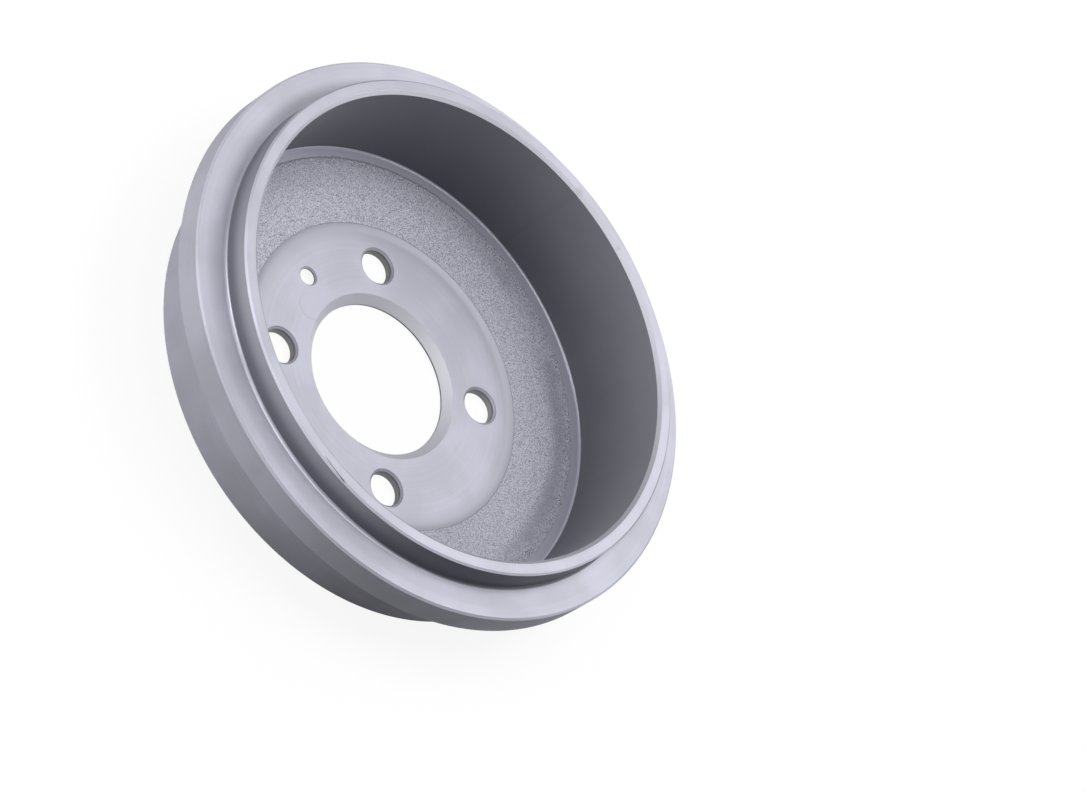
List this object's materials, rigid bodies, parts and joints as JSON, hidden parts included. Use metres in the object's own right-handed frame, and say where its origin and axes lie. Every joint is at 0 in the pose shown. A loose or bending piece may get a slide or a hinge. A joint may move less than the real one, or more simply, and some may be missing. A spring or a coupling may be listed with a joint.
{
  "type": "brake drum",
  "caption": "Flanged brake drum turned from one iron casting, with a turned braking surface inside, a centre bore and stud holes for the wheel.",
  "frame": {"origin": "centre of the closed face that lies against the wheel, where the drum rests", "axes": "+Z along the drum's axis, out of its open mouth; +X through a stud hole, with the countersunk screw hole at 45 degrees towards -Y"},
  "size_m": [0.24, 0.24, 0.059],
  "materials": {
    "brake_drum": "turned and coated with light grey semi-gloss rust protection"
  },
  "bodies": {
    "root": {"brake_drum": "brake_drum"}
  },
  "joints": []
}
